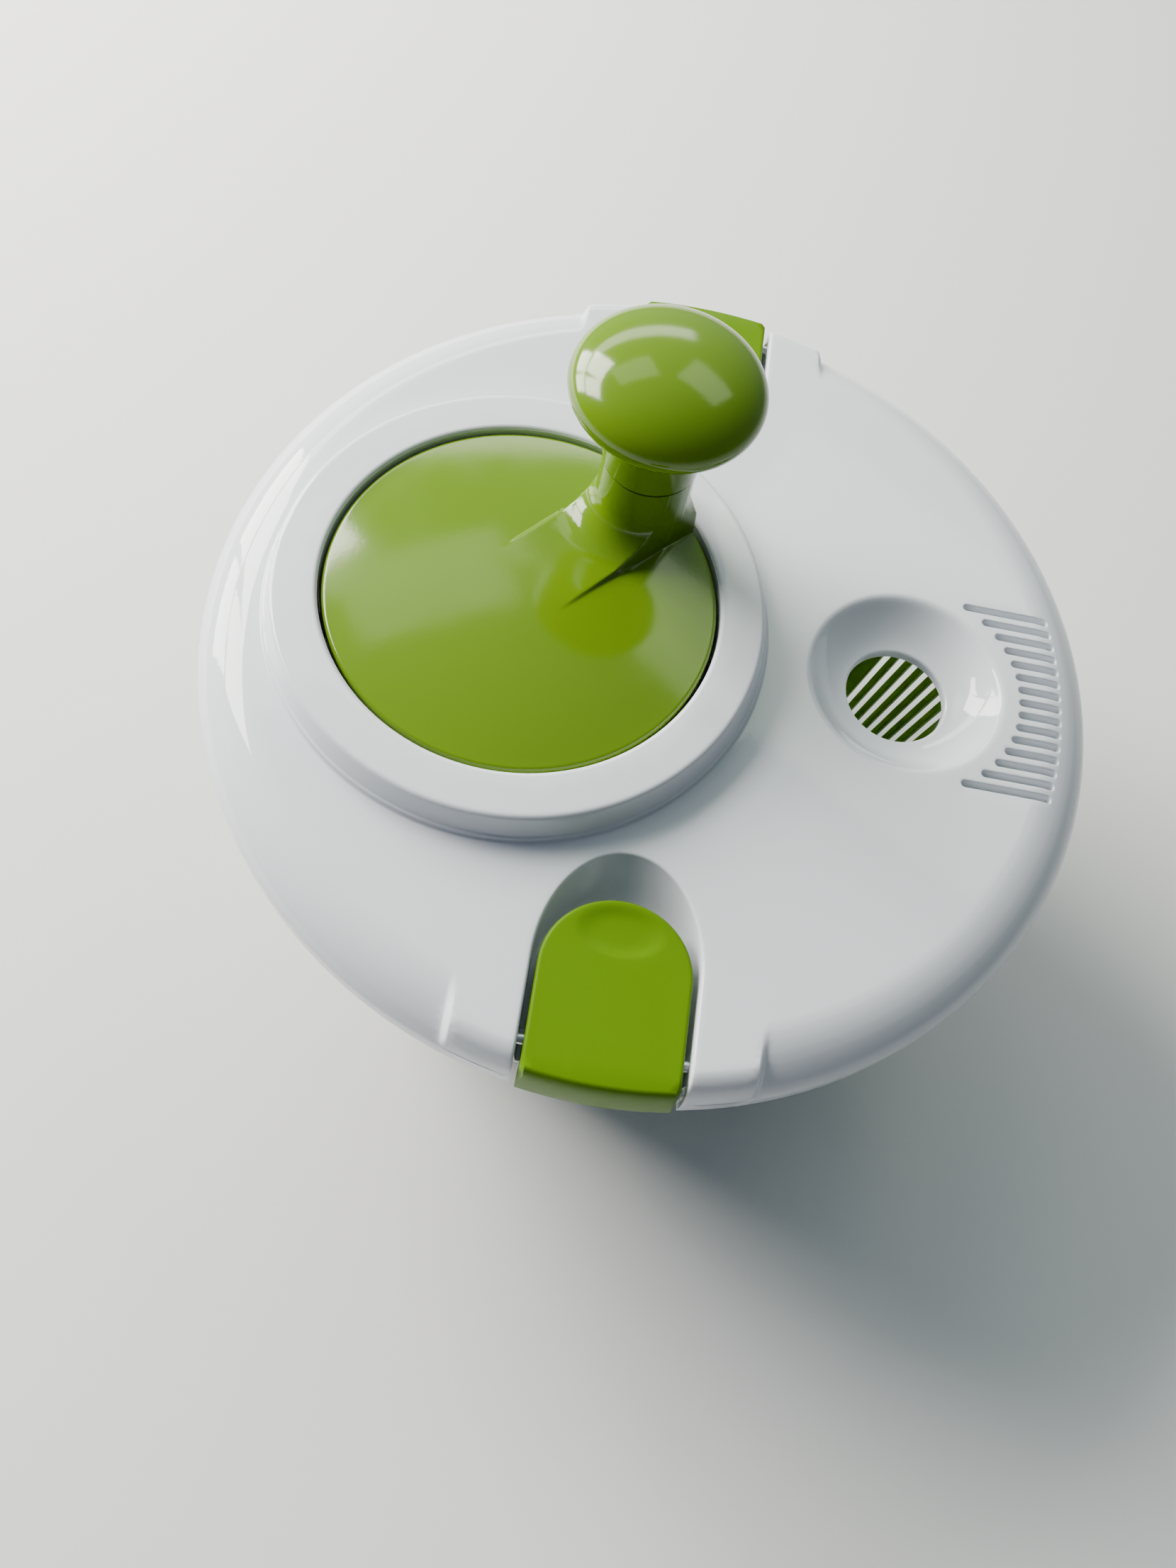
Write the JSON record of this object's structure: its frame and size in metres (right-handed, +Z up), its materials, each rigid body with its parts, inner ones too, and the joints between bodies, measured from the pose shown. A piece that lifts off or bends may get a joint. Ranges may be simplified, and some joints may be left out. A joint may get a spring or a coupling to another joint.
{
  "type": "salad spinner",
  "caption": "Crank salad spinner: clear bowl, slotted green basket, white lid with off-centre crank, funnel, drain slots and side latches.",
  "frame": {"origin": "centre of the bowl's foot, on the surface it stands on", "axes": "+Z up along the bowl and basket axis; +X towards the lid's pouring funnel; the lid's latches are on -Y and +Y"},
  "size_m": [0.26, 0.2616, 0.2114],
  "materials": {
    "white_plastic": "gloss",
    "green_plastic": "gloss",
    "clear_plastic": "clear gloss",
    "natural_plastic": "matte",
    "steel": "bright"
  },
  "bodies": {
    "bowl": {"bowl": "clear_plastic"},
    "pivot_bush": {"pivot_bush": "natural_plastic"},
    "basket": {"basket": "green_plastic"},
    "lid": {"lid_shell": "white_plastic", "gear_cover": "white_plastic", "cover_screw_1": "steel", "cover_screw_2": "steel", "cover_screw_3": "steel", "cover_screw_4": "steel", "pinion_bush": "natural_plastic", "front_latch_pin": "steel", "rear_latch_pin": "steel", "front_latch_spring": "steel", "rear_latch_spring": "steel"},
    "crank": {"crank_disc": "green_plastic", "ring_gear": "natural_plastic", "ring_screw_1": "steel", "ring_screw_2": "steel", "ring_screw_3": "steel", "crank_washer": "steel", "crank_screw": "steel", "knob_spindle": "steel"},
    "knob": {"knob": "green_plastic"},
    "drive": {"pinion": "natural_plastic", "drive_spider": "white_plastic", "drive_screw": "steel"},
    "front_latch": {"front_latch": "green_plastic"},
    "rear_latch": {"rear_latch": "green_plastic"}
  },
  "joints": [
    {"name": "lid_lift", "type": "slide", "parent": "bowl", "child": "lid", "axis": [0, 0, 1], "range_m": [0, 0.24]},
    {"name": "basket_lift", "type": "slide", "parent": "bowl", "child": "pivot_bush", "axis": [0, 0, 1], "range_m": [0, 0.12]},
    {"name": "basket_spin", "type": "hinge", "parent": "pivot_bush", "child": "basket", "pos_m": [0, 0, 0.014], "axis": [0, 0, 1], "continuous": true},
    {"name": "crank_spin", "type": "hinge", "parent": "lid", "child": "crank", "pos_m": [-0.04125, 0, 0.148], "axis": [0, 0, 1], "continuous": true},
    {"name": "knob_spin", "type": "hinge", "parent": "crank", "child": "knob", "pos_m": [-0.01342, 0.03146, 0.19], "axis": [0, 0, 1], "continuous": true},
    {"name": "drive_spin", "type": "hinge", "parent": "lid", "child": "drive", "pos_m": [0, 0, 0.12], "axis": [0, 0, 1], "continuous": true},
    {"name": "front_latch_press", "type": "hinge", "parent": "lid", "child": "front_latch", "pos_m": [0, -0.1195, 0.133], "axis": [-1, 0, 0], "range_deg": [0, 14], "stiffness_Nm_per_rad": 0.36, "springref_deg": -5.73, "deforming": ["front_latch_spring"]},
    {"name": "rear_latch_press", "type": "hinge", "parent": "lid", "child": "rear_latch", "pos_m": [0, 0.1195, 0.133], "axis": [1, 0, 0], "range_deg": [0, 14], "stiffness_Nm_per_rad": 0.36, "springref_deg": -5.73, "deforming": ["rear_latch_spring"]}
  ],
  "couplings": [
    {"joint": "drive_spin", "follows": "crank_spin", "ratio": 5.2308},
    {"joint": "basket_spin", "follows": "crank_spin", "ratio": 5.2308},
    {"joint": "basket_lift", "follows": "lid_lift", "ratio": 0.5}
  ]
}
